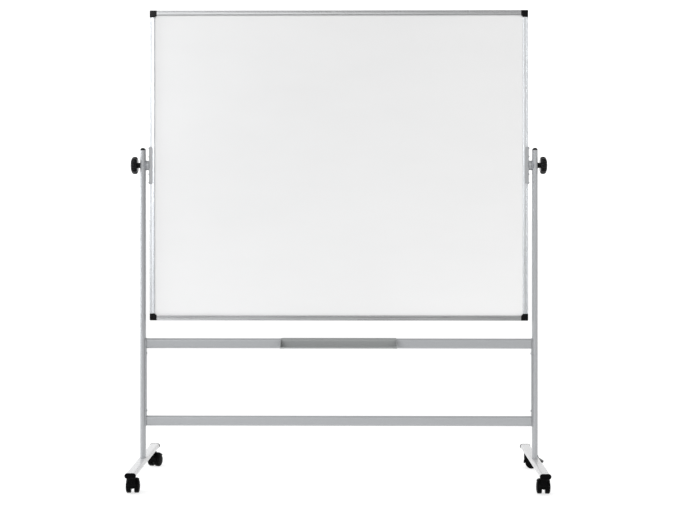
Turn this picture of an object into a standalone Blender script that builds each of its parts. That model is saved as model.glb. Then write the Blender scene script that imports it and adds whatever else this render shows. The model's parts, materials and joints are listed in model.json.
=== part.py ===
"""Revolving mobile whiteboard on a tubular stand with four twin-wheel castors.

Metres. +X runs to the right, +Z is up and the writer stands at -Y. The origin is on
the floor, below the middle of the board.
"""
import math

import bmesh
import bpy
from mathutils import Vector

# ---------------------------------------------------------------- driving dimensions
GAP = 0.0003                # air between pieces that touch
BITE = 0.001                # overlap of two shapes before they are joined into one
SIDES = (("left", -1.0), ("right", 1.0))

BOARD_WIDTH = 1.500
BOARD_HEIGHT = 1.230
PIVOT_HEIGHT = 1.249        # the board turns about a level axis through its middle

CORE_THICKNESS = 0.009
SHEET_THICKNESS = 0.0004
SHEET_STEP = 0.0001         # the sheet's rim, under the profile, is this much lower
SHEET_BORDER = 0.0010       # air between the profile's lip and the raised writing face
RAIL_FACE = 0.020           # width of the edge profile, seen from the front
RAIL_DEPTH = 0.022
RAIL_WALL = 0.0014
RAIL_CORNER = 0.003         # rounding of the profile's outer edge
PANEL_INSET = 0.008         # depth of the panel below the board's outer edge
CAP_REACH = 0.0275          # length of a corner cap's leg
CAP_PROUD = 0.0006          # height of a corner cap above the profile
SPIGOT_LENGTH = 0.015

TUBE_LONG = 0.020           # half of the flat-oval tube's 40 mm
TUBE_SHORT = 0.010          # half of its 20 mm
TUBE_WALL = 0.0015
TUBE_STEPS = 8              # flats in each half-round side of the tube

UPRIGHT_X = 0.7775
UPRIGHT_TOP = 1.3095
FOOT_BOTTOM = 0.068
FOOT_HALF_LENGTH = 0.310
UPPER_RAIL_HEIGHT = 0.5424
LOWER_RAIL_HEIGHT = 0.2350
PLATE_THICKNESS = 0.003
PLATE_WIDTH = 0.030
END_PLATE = 0.0036          # visible thickness of a foot cap
FOOT_CAP_BREADTH = 1.06     # the feet end in plugs a little broader than the tube
PLUG_LENGTH = 0.015         # hidden length of a cap inside its tube

BRACKET_HEIGHT = 0.148
BRACKET_WEB = 0.0025
BRACKET_FLANGE = 0.0020
BRACKET_REACH = 0.0115      # how far the flanges come in over the board's edge
BRACKET_BEND = 0.0025       # outer radius of its two bends
BRACKET_CORNER = 0.006      # rounding of the flanges' four corners
HUB_RADIUS = 0.0190
HUB_FLANGE_RADIUS = 0.020
HUB_FLANGE = 0.003          # thickness of the hub's wider foot
HUB_LENGTH = 0.0092
SPACER_RADIUS = 0.0196
SPACER_SADDLE = 0.0050      # how far the saddle washer hugs the round of the upright
STUD_RADIUS = 0.004
STUD_HEAD_RADIUS = 0.008
STUD_HEAD = 0.003
CLEARANCE_RADIUS = STUD_RADIUS + GAP

WASHER_RADIUS = 0.012
WASHER_THICKNESS = 0.0018
KNOB_RADIUS = 0.0345
KNOB_HEAD = 0.0275
KNOB_NECK = 0.0085
KNOB_NECK_RADIUS = 0.011
KNOB_BORE = 0.0250
KNOB_LOBES = 8
KNOB_LOBE_DEPTH = 0.0026

TRAY_HALF_LENGTH = 0.2275
TRAY_WALL = 0.0018
TRAY_REACH = 0.066          # front of the tray, measured from the middle of the rail
TRAY_FLOOR = -0.0137        # underside of the trough, from the middle of the rail
TRAY_LIP = 0.0060
TRAY_HOOK_DROP = 0.006
CHEEK_THICKNESS = 0.003

CASTOR_SETBACK = 0.055      # stem to the end of the foot
CASTOR_TRAIL = 0.020
CASTOR_TOP = 0.0643
WHEEL_RADIUS = 0.025
WHEEL_SIDES = 24
WHEEL_INNER = 0.0056        # inner wheel face, from the castor's middle plane
WHEEL_WIDTH = 0.0217
AXLE_RADIUS = 0.003
HOOD_WEB = 0.0045           # half thickness of the web between the wheels
HOOD_WEB_RADIUS = 0.0275
HOOD_INNER_RADIUS = 0.0263
HOOD_OUTER_RADIUS = 0.0325
# the cover's crown: distance from the middle plane, radius from the axle
HOOD_SECTION = ((0.0245, 0.0268), (0.0233, 0.0285), (0.0212, 0.0303), (0.0180, 0.0317),
                (0.0130, HOOD_OUTER_RADIUS))
BOSS_HALF_WIDTH = 0.0115    # the block on top of the cover that holds the stem
BOSS_FRONT = 0.0105         # it runs from here before the stem
BOSS_REAR = 0.0110          # to here behind it
STEM_RADIUS = 0.005
STEM_FLANGE_RADIUS = 0.008
BRAKE_PIVOT = (0.0405, 0.0475)   # along the trail and up, from the stem's foot
BRAKE_HUB_RADIUS = 0.0042
BRAKE_HALF_WIDTH = 0.015
BRAKE_REACH = 0.0290        # from the lever's pivot to its tip
BRAKE_DROP = 0.0195         # how far the tip hangs below the pivot

# name, side, front or rear, heading of the trailing wheels in degrees from +Y towards
# +X, and whether it has a brake
CASTORS = (
    ("castor_front_left", -1.0, -1.0, 355.5, True),
    ("castor_front_right", 1.0, -1.0, 3.5, False),
    ("castor_rear_left", -1.0, 1.0, 20.0, False),
    ("castor_rear_right", 1.0, 1.0, 100.0, True),
)

# ---------------------------------------------------------------- derived dimensions
BOARD_HALF_WIDTH = BOARD_WIDTH / 2
BOARD_HALF_HEIGHT = BOARD_HEIGHT / 2
PANEL_EDGE = PANEL_INSET + GAP
SHEET_FACE = CORE_THICKNESS / 2 + GAP + SHEET_THICKNESS
SLOT_HALF = SHEET_FACE + GAP
RAIL_HALF_DEPTH = RAIL_DEPTH / 2
FOOT_HEIGHT = FOOT_BOTTOM + TUBE_SHORT
FOOT_TOP = FOOT_BOTTOM + 2 * TUBE_SHORT
UPRIGHT_INNER = UPRIGHT_X - TUBE_SHORT
UPRIGHT_OUTER = UPRIGHT_X + TUBE_SHORT
WEB_INNER = BOARD_HALF_WIDTH + GAP
WEB_OUTER = WEB_INNER + BRACKET_WEB
HUB_FACE = WEB_OUTER + HUB_LENGTH
SPACER_FACE = HUB_FACE + GAP
WASHER_FACE = UPRIGHT_OUTER + GAP
KNOB_FACE = WASHER_FACE + WASHER_THICKNESS + GAP
STUD_END = KNOB_FACE + KNOB_BORE - 0.003
CASTOR_Y = FOOT_HALF_LENGTH - CASTOR_SETBACK
AXLE_HEIGHT = WHEEL_RADIUS
HOOD_MIDDLE_RADIUS = (HOOD_INNER_RADIUS + HOOD_OUTER_RADIUS) / 2

PLANES = {
    "XY": (Vector((1, 0, 0)), Vector((0, 1, 0)), Vector((0, 0, 1))),
    "XZ": (Vector((1, 0, 0)), Vector((0, 0, 1)), Vector((0, 1, 0))),
    "YZ": (Vector((0, 1, 0)), Vector((0, 0, 1)), Vector((1, 0, 0))),
}


# ---------------------------------------------------------------- materials
def make_material(name, colour, roughness, metallic):
    material = bpy.data.materials.new(name)
    material.use_nodes = True
    shader = material.node_tree.nodes["Principled BSDF"]
    shader.inputs["Base Color"].default_value = (*colour, 1.0)
    shader.inputs["Roughness"].default_value = roughness
    shader.inputs["Metallic"].default_value = metallic
    return material


def make_materials():
    return {
        "enamel": make_material("white_enamel", (0.84, 0.84, 0.84), 0.12, 0.0),
        "core": make_material("panel_core", (0.55, 0.45, 0.33), 0.85, 0.0),
        "aluminium": make_material("anodised_aluminium", (0.60, 0.61, 0.63), 0.35, 1.0),
        "paint": make_material("silver_grey_paint", (0.42, 0.43, 0.44), 0.45, 0.2),
        "foot_paint": make_material("pale_foot_paint", (0.55, 0.55, 0.56), 0.30, 0.0),
        "steel": make_material("zinc_steel", (0.55, 0.55, 0.56), 0.35, 1.0),
        "spacer": make_material("grey_spacer", (0.30, 0.31, 0.33), 0.50, 0.0),
        "tray": make_material("tray_grey", (0.36, 0.37, 0.38), 0.45, 0.3),
        "black": make_material("black_plastic", (0.02, 0.02, 0.022), 0.45, 0.0),
        "castor": make_material("castor_nylon", (0.012, 0.012, 0.013), 0.40, 0.0),
    }


# ---------------------------------------------------------------- mesh helpers
def finish_mesh(name, bm):
    bmesh.ops.recalc_face_normals(bm, faces=bm.faces[:])
    mesh = bpy.data.meshes.new(name)
    bm.to_mesh(mesh)
    bm.free()
    return mesh


def arc(centre, radius, start, end, steps):
    """Points on an arc, from start to end in degrees, both ends included."""
    points = []
    for step in range(steps + 1):
        angle = math.radians(start + (end - start) * step / steps)
        points.append((centre[0] + radius * math.cos(angle),
                       centre[1] + radius * math.sin(angle)))
    return points


def flat_oval(inset=0.0, steps=TUBE_STEPS):
    """The tube's outline, long side along the first axis, shrunk by inset."""
    straight = TUBE_LONG - TUBE_SHORT
    radius = TUBE_SHORT - inset
    return (arc((straight, 0), radius, -90, 90, steps)
            + arc((-straight, 0), radius, 90, 270, steps))


def swapped(loop):
    return [(second, first) for first, second in loop]


def rectangle(low, high):
    return [(low[0], low[1]), (high[0], low[1]), (high[0], high[1]), (low[0], high[1])]


def extruded_bmesh(loops, plane, start, end):
    """Fill the loops, leaving inner ones as holes, and extrude along the third axis."""
    first_axis, second_axis, along = PLANES[plane]
    bm = bmesh.new()
    for loop in loops:
        verts = []
        for first, second in loop:
            verts.append(bm.verts.new(first_axis * first + second_axis * second + along * start))
        for near, far in zip(verts, verts[1:] + verts[:1]):
            bm.edges.new((near, far))
    bmesh.ops.triangle_fill(bm, use_beauty=True, edges=bm.edges[:])
    extruded = bmesh.ops.extrude_face_region(bm, geom=bm.faces[:])["geom"]
    moved = [item for item in extruded if isinstance(item, bmesh.types.BMVert)]
    bmesh.ops.translate(bm, verts=moved, vec=along * (end - start))
    return bm


def extruded(name, loops, plane, start, end):
    return finish_mesh(name, extruded_bmesh(loops, plane, start, end))


def box(name, low, high):
    return extruded(name, [rectangle(low[:2], high[:2])], "XY", low[2], high[2])


def lofted(name, rings, plane):
    """Skin equal rings, each (loop, height), and close both ends."""
    first_axis, second_axis, along = PLANES[plane]
    bm = bmesh.new()
    loops = []
    for loop, height in rings:
        verts = []
        for first, second in loop:
            verts.append(bm.verts.new(first_axis * first + second_axis * second + along * height))
        loops.append(verts)
    for lower, upper in zip(loops, loops[1:]):
        for index in range(len(lower)):
            after = (index + 1) % len(lower)
            bm.faces.new((lower[index], lower[after], upper[after], upper[index]))
    bm.faces.new(loops[0])
    bm.faces.new(loops[-1])
    return finish_mesh(name, bm)


def turned(name, profile, sides, shape=None, phase=0.0):
    """Turn (along X, radius) points about the X axis.

    A radius of zero closes the shape on the axis; a profile with none is a closed ring.
    shape(radius, angle) may change the radius, which makes lobes.
    """
    bm = bmesh.new()
    rings = []
    for along, radius in profile:
        if radius == 0.0:
            rings.append([bm.verts.new((along, 0.0, 0.0))])
            continue
        ring = []
        for side in range(sides):
            angle = 2 * math.pi * (side + phase) / sides
            reach = shape(radius, angle) if shape else radius
            ring.append(bm.verts.new((along, reach * math.cos(angle), reach * math.sin(angle))))
        rings.append(ring)
    pairs = list(zip(rings, rings[1:]))
    if len(rings[0]) > 1:
        pairs.append((rings[-1], rings[0]))
    for lower, upper in pairs:
        for side in range(sides):
            after = (side + 1) % sides
            corners = [lower[side % len(lower)], lower[after % len(lower)],
                       upper[after % len(upper)], upper[side % len(upper)]]
            unique = list(dict.fromkeys(corners))
            bm.faces.new(unique)
    return finish_mesh(name, bm)


def rod(start, end, radius, sides):
    return turned("rod", [(start, 0.0), (start, radius), (end, radius), (end, 0.0)], sides)


def moved(mesh, offset):
    for vertex in mesh.vertices:
        vertex.co += Vector(offset)
    return mesh


def combined(name, base, steps):
    """Apply exact Booleans, each (operation, mesh), and return the finished mesh."""
    collection = bpy.context.scene.collection
    carrier = bpy.data.objects.new(name, base)
    collection.objects.link(carrier)
    helpers = []
    for operation, tool in steps:
        helper = bpy.data.objects.new("tool", tool)
        collection.objects.link(helper)
        helpers.append(helper)
        modifier = carrier.modifiers.new(operation.lower(), "BOOLEAN")
        modifier.operation = operation
        modifier.solver = "EXACT"
        modifier.object = helper
    bpy.context.view_layer.update()
    graph = bpy.context.evaluated_depsgraph_get()
    mesh = bpy.data.meshes.new_from_object(carrier.evaluated_get(graph))
    for item in [carrier] + helpers:
        bpy.data.objects.remove(item, do_unlink=True)
    mesh.name = name
    return mesh


def add(name, mesh, material, location=(0, 0, 0), rotation=(0, 0, 0), parent=None):
    mesh.materials.clear()
    mesh.materials.append(material)
    mesh.shade_smooth()
    mesh.set_sharp_from_angle(angle=math.radians(32))
    item = bpy.data.objects.new(name, mesh)
    item.location = location
    item.rotation_euler = rotation
    item.parent = parent
    bpy.context.scene.collection.objects.link(item)
    return item


def add_pivot(name, location, rotation=(0, 0, 0), parent=None):
    pivot = bpy.data.objects.new(name, None)
    pivot.empty_display_size = 0.05
    pivot.location = location
    pivot.rotation_euler = rotation
    pivot.parent = parent
    bpy.context.scene.collection.objects.link(pivot)
    return pivot


# ---------------------------------------------------------------- board
def rail_section():
    """Loops of the edge profile as (inwards from the board's edge, depth).

    The profile is a C that grips the panel, with a hollow chamber behind its outer
    edge, a rounded outer corner and two fine grooves along each face.
    """
    groove = 0.0005
    face = RAIL_HALF_DEPTH
    lip_drop = 0.0025
    half = arc((RAIL_CORNER, face - RAIL_CORNER), RAIL_CORNER, 180, 90, 3)
    for middle in (RAIL_FACE / 3, 2 * RAIL_FACE / 3):
        half += [(middle - groove, face), (middle, face - groove), (middle + groove, face)]
    half += [(RAIL_FACE, face - lip_drop), (RAIL_FACE, SLOT_HALF), (PANEL_INSET, SLOT_HALF)]
    outline = half + [(inwards, -depth) for inwards, depth in reversed(half)]
    chamber = rectangle((RAIL_WALL, -(face - 2 * RAIL_WALL)),
                        (PANEL_INSET - RAIL_WALL, face - 2 * RAIL_WALL))
    return [outline, chamber]


def clipped(half_width, half_height, cut):
    """Outline of a rectangle round the origin with its corners cut off."""
    points = []
    for side, up in ((1, -1), (1, 1), (-1, 1), (-1, -1)):
        along_side = (side * half_width, up * (half_height - cut))
        along_end = (side * (half_width - cut), up * half_height)
        points += [along_end, along_side] if side * up < 0 else [along_side, along_end]
    return points


def sheet_mesh(facing):
    """Steel sheet whose rim, under the profile and the caps, is a little lower than its face."""
    half_width = BOARD_HALF_WIDTH - PANEL_EDGE
    half_height = BOARD_HALF_HEIGHT - PANEL_EDGE
    border = RAIL_FACE + SHEET_BORDER
    corner = CAP_REACH - RAIL_FACE + SHEET_BORDER
    rim = clipped(half_width, half_height, SHEET_BORDER)
    window = clipped(BOARD_HALF_WIDTH - border, BOARD_HALF_HEIGHT - border, corner)
    back = facing * (CORE_THICKNESS / 2 + GAP)
    face = facing * SHEET_FACE
    step = face - facing * SHEET_STEP
    return lofted("sheet", [(rim, back), (rim, step), (window, step), (window, face)], "XZ")


def add_panel(materials, board):
    half_width = BOARD_HALF_WIDTH - PANEL_EDGE
    half_height = BOARD_HALF_HEIGHT - PANEL_EDGE
    core = box("core", (-half_width, -CORE_THICKNESS / 2, -half_height),
               (half_width, CORE_THICKNESS / 2, half_height))
    add("board_core", core, materials["core"], parent=board)
    add("writing_sheet_front", sheet_mesh(-1.0), materials["enamel"], parent=board)
    add("writing_sheet_rear", sheet_mesh(1.0), materials["enamel"], parent=board)


def add_edge_profiles(materials, board):
    section = rail_section()
    reach = CAP_REACH + GAP
    for name, up in (("frame_top", 1.0), ("frame_bottom", -1.0)):
        loops = [[(depth, up * (BOARD_HALF_HEIGHT - inwards)) for inwards, depth in loop]
                 for loop in section]
        half = BOARD_HALF_WIDTH - reach
        add(name, extruded(name, loops, "YZ", -half, half), materials["aluminium"], parent=board)
    for side_name, side in SIDES:
        name = "frame_" + side_name
        loops = [[(side * (BOARD_HALF_WIDTH - inwards), depth) for inwards, depth in loop]
                 for loop in section]
        half = BOARD_HALF_HEIGHT - reach
        add(name, extruded(name, loops, "XY", -half, half), materials["aluminium"], parent=board)


def corner_cap_mesh():
    """A top left corner cap: its outer corner is at the origin, its legs run +X and -Z."""
    rounding = 0.003
    half_depth = RAIL_HALF_DEPTH + CAP_PROUD
    outline = (arc((rounding, -rounding), rounding, 180, 90, 3)
               + [(CAP_REACH, 0.0), (CAP_REACH, -RAIL_FACE),
                  (RAIL_FACE, -CAP_REACH), (0.0, -CAP_REACH)])
    block = extruded("corner_cap", [outline], "XZ", -half_depth, half_depth)
    slot = box("slot", (PANEL_INSET, -SLOT_HALF, -2 * CAP_REACH),
               (2 * CAP_REACH, SLOT_HALF, -PANEL_INSET))
    low = RAIL_WALL + GAP
    high = PANEL_INSET - RAIL_WALL - GAP
    depth = RAIL_HALF_DEPTH - 2 * RAIL_WALL - GAP
    root = CAP_REACH - BITE
    tip = CAP_REACH + SPIGOT_LENGTH
    level_spigot = box("spigot", (root, -depth, -high), (tip, depth, -low))
    upright_spigot = box("spigot", (low, -depth, -tip), (high, depth, -root))
    return combined("corner_cap", block, [("DIFFERENCE", slot), ("UNION", level_spigot),
                                          ("UNION", upright_spigot)])


def add_corner_caps(materials, board):
    mesh = corner_cap_mesh()
    corners = (
        ("corner_cap_top_left", -1.0, 1.0),
        ("corner_cap_top_right", 1.0, 1.0),
        ("corner_cap_bottom_right", 1.0, -1.0),
        ("corner_cap_bottom_left", -1.0, -1.0),
    )
    for quarter, (name, side, up) in enumerate(corners):
        place = (side * BOARD_HALF_WIDTH, 0.0, up * BOARD_HALF_HEIGHT)
        add(name, mesh, materials["black"], place, (0.0, quarter * math.pi / 2, 0.0), board)


def pivot_plate_mesh(side):
    """A U-shaped plate round the side profile, with a stepped hub on its outer face."""
    bend = BRACKET_BEND
    flange_inner = RAIL_HALF_DEPTH + GAP
    flange_outer = flange_inner + BRACKET_FLANGE
    tip = BOARD_HALF_WIDTH - BRACKET_REACH
    front_bend = arc((WEB_OUTER - bend, -flange_outer + bend), bend, -90, 0, 3)
    rear_bend = arc((WEB_OUTER - bend, flange_outer - bend), bend, 0, 90, 3)
    outline = ([(tip, -flange_outer)] + front_bend + rear_bend
               + [(tip, flange_outer), (tip, flange_inner), (WEB_INNER, flange_inner),
                  (WEB_INNER, -flange_inner), (tip, -flange_inner)])
    half = BRACKET_HEIGHT / 2
    bm = extruded_bmesh([outline], "XY", -half, half)
    corners = [edge for edge in bm.edges
               if all(abs(vert.co.x - tip) < 1e-5 for vert in edge.verts)
               and abs(edge.verts[0].co.z - edge.verts[1].co.z) < 1e-5
               and edge.verts[0].co.y * edge.verts[1].co.y > 0]
    bmesh.ops.bevel(bm, geom=corners, offset=BRACKET_CORNER, segments=3, profile=0.5, affect="EDGES")
    plate = finish_mesh("pivot_plate", bm)
    step = WEB_OUTER + HUB_FLANGE
    root = WEB_OUTER - BITE
    hub = turned("hub", [(root, 0.0), (root, HUB_FLANGE_RADIUS),
                         (step, HUB_FLANGE_RADIUS), (step, HUB_RADIUS),
                         (HUB_FACE, HUB_RADIUS), (HUB_FACE, 0.0)], 28)
    recess = rod(WEB_INNER - BITE, WEB_INNER + STUD_HEAD + 2 * GAP, STUD_HEAD_RADIUS + GAP, 20)
    bore = rod(WEB_INNER, HUB_FACE + BITE, CLEARANCE_RADIUS, 20)
    mesh = combined("pivot_plate", plate,
                    [("UNION", hub), ("DIFFERENCE", recess), ("DIFFERENCE", bore)])
    return mesh if side > 0 else mirrored(mesh)


def mirrored(mesh):
    """Swap left and right, keeping the faces pointing out."""
    for vertex in mesh.vertices:
        vertex.co.x = -vertex.co.x
    mesh.flip_normals()
    return mesh


def stud_mesh():
    """Stud with a flat round head held between the plate and the side profile."""
    head = WEB_INNER + GAP
    shoulder = head + STUD_HEAD
    return turned("pivot_bolt", [(head, 0.0), (head, STUD_HEAD_RADIUS),
                                 (shoulder, STUD_HEAD_RADIUS), (shoulder, STUD_RADIUS),
                                 (STUD_END, STUD_RADIUS), (STUD_END, 0.0)], 20)


def add_pivots(materials, board):
    for side_name, side in SIDES:
        add("pivot_plate_" + side_name, pivot_plate_mesh(side), materials["paint"], parent=board)
        stud = stud_mesh() if side > 0 else mirrored(stud_mesh())
        add("pivot_bolt_" + side_name, stud, materials["steel"], parent=board)


# ---------------------------------------------------------------- clamps
def lobed(radius, angle):
    """Shrink the radius between the knob's lobes; the neck and bore stay round."""
    if radius <= KNOB_NECK_RADIUS:
        return radius
    valley = 0.5 - 0.5 * math.cos(KNOB_LOBES * angle)
    return radius - KNOB_LOBE_DEPTH * valley * radius / KNOB_RADIUS


def knob_mesh():
    """Hand knob with a round neck, a lobed rim and a blind bore for the stud."""
    head = KNOB_NECK
    end = KNOB_NECK + KNOB_HEAD
    profile = [
        (KNOB_BORE, 0.0),
        (KNOB_BORE, CLEARANCE_RADIUS),
        (0.0, CLEARANCE_RADIUS),
        (0.0, KNOB_NECK_RADIUS),
        (head, KNOB_NECK_RADIUS),
        (head + 0.0005, 0.78 * KNOB_RADIUS),
        (head + 0.20 * KNOB_HEAD, 0.97 * KNOB_RADIUS),
        (head + 0.42 * KNOB_HEAD, KNOB_RADIUS),
        (head + 0.66 * KNOB_HEAD, 0.96 * KNOB_RADIUS),
        (head + 0.87 * KNOB_HEAD, 0.78 * KNOB_RADIUS),
        (end, 0.42 * KNOB_RADIUS),
        (end, 0.0),
    ]
    return turned("clamp_knob", profile, 4 * KNOB_LOBES, lobed)


def washer_mesh():
    """Plain washer between the upright and the knob."""
    return turned("clamp_washer", [(0.0, CLEARANCE_RADIUS), (0.0, WASHER_RADIUS),
                                   (WASHER_THICKNESS, WASHER_RADIUS),
                                   (WASHER_THICKNESS, CLEARANCE_RADIUS)], 24)


def add_clamps(materials):
    for side_name, side in SIDES:
        washer = washer_mesh() if side > 0 else mirrored(washer_mesh())
        knob = knob_mesh() if side > 0 else mirrored(knob_mesh())
        add("clamp_washer_" + side_name, washer, materials["black"],
            (side * WASHER_FACE, 0.0, PIVOT_HEIGHT))
        add("clamp_knob_" + side_name, knob, materials["black"],
            (side * KNOB_FACE, 0.0, PIVOT_HEIGHT))


# ---------------------------------------------------------------- stand
def upright_mesh():
    """Flat-oval tube on end, narrow side to the front, drilled through for the stud."""
    loops = [swapped(flat_oval()), swapped(flat_oval(TUBE_WALL))]
    tube = extruded("upright", loops, "XY", FOOT_TOP + GAP, UPRIGHT_TOP)
    drill = moved(rod(-0.02, 0.02, CLEARANCE_RADIUS, 20), (0.0, 0.0, PIVOT_HEIGHT))
    return combined("upright", tube, [("DIFFERENCE", drill)])


def upright_cap_mesh():
    """Domed plug: a hidden spigot below and a half-round top."""
    inner = swapped(flat_oval(TUBE_WALL + GAP))
    rings = [(inner, -PLUG_LENGTH), (inner, GAP)]
    dome_steps = 5
    for step in range(dome_steps):
        angle = math.radians(16.0 * step)
        inset = TUBE_SHORT * (1.0 - math.cos(angle))
        rings.append((swapped(flat_oval(inset)), GAP + TUBE_SHORT * math.sin(angle)))
    return lofted("upright_cap", rings, "XY")


def foot_mesh():
    """Flat-oval tube lying flat, with a hole near each end for a castor stem."""
    loops = [flat_oval(), flat_oval(TUBE_WALL)]
    half = FOOT_HALF_LENGTH - END_PLATE - GAP
    tube = extruded("foot", loops, "XZ", -half, half)
    cuts = []
    for end in (-1.0, 1.0):
        hole = upright_rod(STEM_RADIUS + GAP, -2 * TUBE_SHORT, 0.0, 20)
        cuts.append(("DIFFERENCE", moved(hole, (0.0, end * CASTOR_Y, 0.0))))
    return combined("foot", tube, cuts)


def upright_rod(radius, low, high, sides):
    """A plain round rod along Z."""
    ring = arc((0.0, 0.0), radius, 0.0, 360.0 - 360.0 / sides, sides - 1)
    return extruded("rod", [ring], "XY", low, high)


def broadened(inset):
    """The tube's outline, but as broad as a foot's end plug."""
    return [(FOOT_CAP_BREADTH * along, up) for along, up in flat_oval(inset)]


def foot_cap_mesh():
    """End plug for a foot, with its visible face towards +Y."""
    inner = flat_oval(TUBE_WALL + GAP)
    proud = -0.0005
    rings = [
        (inner, -PLUG_LENGTH),
        (inner, 0.0),
        (broadened(proud), 0.0),
        (broadened(proud), 0.6 * END_PLATE),
        (broadened(0.0008), 0.93 * END_PLATE),
        (broadened(0.0022), END_PLATE),
    ]
    return lofted("foot_cap", rings, "XZ")


def add_spacers(materials):
    """Saddle washers: flat against the hub and hollowed to hug the upright."""
    for side_name, side in SIDES:
        reach = UPRIGHT_INNER - GAP + SPACER_SADDLE
        disc = turned("pivot_spacer", [(SPACER_FACE, 0.0), (SPACER_FACE, SPACER_RADIUS),
                                       (reach, SPACER_RADIUS), (reach, 0.0)], 28)
        tube = moved(extruded("tube", [swapped(flat_oval(-GAP))], "XY", -0.05, 0.05),
                     (UPRIGHT_X, 0.0, 0.0))
        bore = rod(SPACER_FACE - BITE, UPRIGHT_X, CLEARANCE_RADIUS, 20)
        mesh = combined("pivot_spacer", disc, [("DIFFERENCE", tube), ("DIFFERENCE", bore)])
        if side < 0:
            mesh = mirrored(mesh)
        add("pivot_spacer_" + side_name, mesh, materials["spacer"], (0.0, 0.0, PIVOT_HEIGHT))


def add_uprights_and_feet(materials):
    upright = upright_mesh()
    upright_cap = upright_cap_mesh()
    foot = foot_mesh()
    foot_cap = foot_cap_mesh()
    cap_y = FOOT_HALF_LENGTH - END_PLATE
    for side_name, side in SIDES:
        x = side * UPRIGHT_X
        add("upright_" + side_name, upright, materials["paint"], (x, 0.0, 0.0))
        add("upright_cap_" + side_name, upright_cap, materials["black"], (x, 0.0, UPRIGHT_TOP))
        add("foot_" + side_name, foot, materials["foot_paint"], (x, 0.0, FOOT_HEIGHT))
        add("foot_cap_rear_" + side_name, foot_cap, materials["black"],
            (x, cap_y, FOOT_HEIGHT))
        add("foot_cap_front_" + side_name, foot_cap, materials["black"],
            (x, -cap_y, FOOT_HEIGHT), (0.0, 0.0, math.pi))


def add_cross_frame(materials):
    """Two cross tubes, joined at each end by a flat plate against the upright."""
    plate_outer = UPRIGHT_INNER - GAP
    plate_inner = plate_outer - PLATE_THICKNESS
    tube_end = plate_inner - GAP
    loops = [swapped(flat_oval()), swapped(flat_oval(TUBE_WALL))]
    tube = extruded("cross_tube", loops, "YZ", -tube_end, tube_end)
    for name, height in (("upper_rail", UPPER_RAIL_HEIGHT), ("lower_rail", LOWER_RAIL_HEIGHT)):
        add(name, tube, materials["paint"], (0.0, 0.0, height))
    low = LOWER_RAIL_HEIGHT - TUBE_LONG
    high = UPPER_RAIL_HEIGHT + TUBE_LONG
    for side_name, side in SIDES:
        ends = sorted((side * plate_inner, side * plate_outer))
        name = "side_plate_" + side_name
        mesh = box(name, (ends[0], -PLATE_WIDTH / 2, low), (ends[1], PLATE_WIDTH / 2, high))
        add(name, mesh, materials["paint"])


# ---------------------------------------------------------------- pen tray
def tray_section():
    """Outline of the tray as (depth, height) from the middle of the rail.

    It hooks over the rail's round top, runs down its front and out into a trough.
    """
    inner = TUBE_SHORT + GAP
    outer = inner + TRAY_WALL
    crown = (0.0, TUBE_LONG - TUBE_SHORT)
    floor = TRAY_FLOOR + TRAY_WALL
    lip = TRAY_FLOOR + TRAY_LIP
    outline = [(outer, TRAY_HOOK_DROP)]
    outline += arc(crown, outer, 0, 180, 8)
    outline += [(-outer, floor), (-TRAY_REACH + TRAY_WALL, floor),
                (-TRAY_REACH + TRAY_WALL, lip), (-TRAY_REACH, lip),
                (-TRAY_REACH, TRAY_FLOOR), (-inner, TRAY_FLOOR)]
    outline += arc(crown, inner, 180, 0, 8)
    outline += [(inner, TRAY_HOOK_DROP)]
    return outline


def add_pen_tray(materials):
    tray = add_pivot("pen_tray_slide", (0.0, 0.0, UPPER_RAIL_HEIGHT))
    mesh = extruded("pen_tray", [tray_section()], "YZ", -TRAY_HALF_LENGTH, TRAY_HALF_LENGTH)
    add("pen_tray", mesh, materials["tray"], parent=tray)
    back = TUBE_SHORT + GAP
    shoulder = 0.018
    lip = TRAY_FLOOR + TRAY_LIP
    outline = [(-back, TRAY_FLOOR), (-back, shoulder), (-back - 0.008, shoulder),
               (-TRAY_REACH, lip), (-TRAY_REACH, TRAY_FLOOR)]
    near = TRAY_HALF_LENGTH + GAP
    for side_name, side in SIDES:
        ends = sorted((side * near, side * (near + CHEEK_THICKNESS)))
        name = "pen_tray_end_" + side_name
        add(name, extruded(name, [outline], "YZ", *ends), materials["tray"], parent=tray)


# ---------------------------------------------------------------- castors
def cover_mesh(axle, rear_end):
    """Crowned cover that arches over both wheels, as wide as the wheels and open below."""
    inner = arc(axle, HOOD_INNER_RADIUS, rear_end, 184, 12)
    left = [(arc(axle, radius, 184, rear_end, 12) + inner, -across)
            for across, radius in HOOD_SECTION]
    right = [(outline, -across) for outline, across in reversed(left)]
    return lofted("hood", left + right, "YZ")


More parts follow.
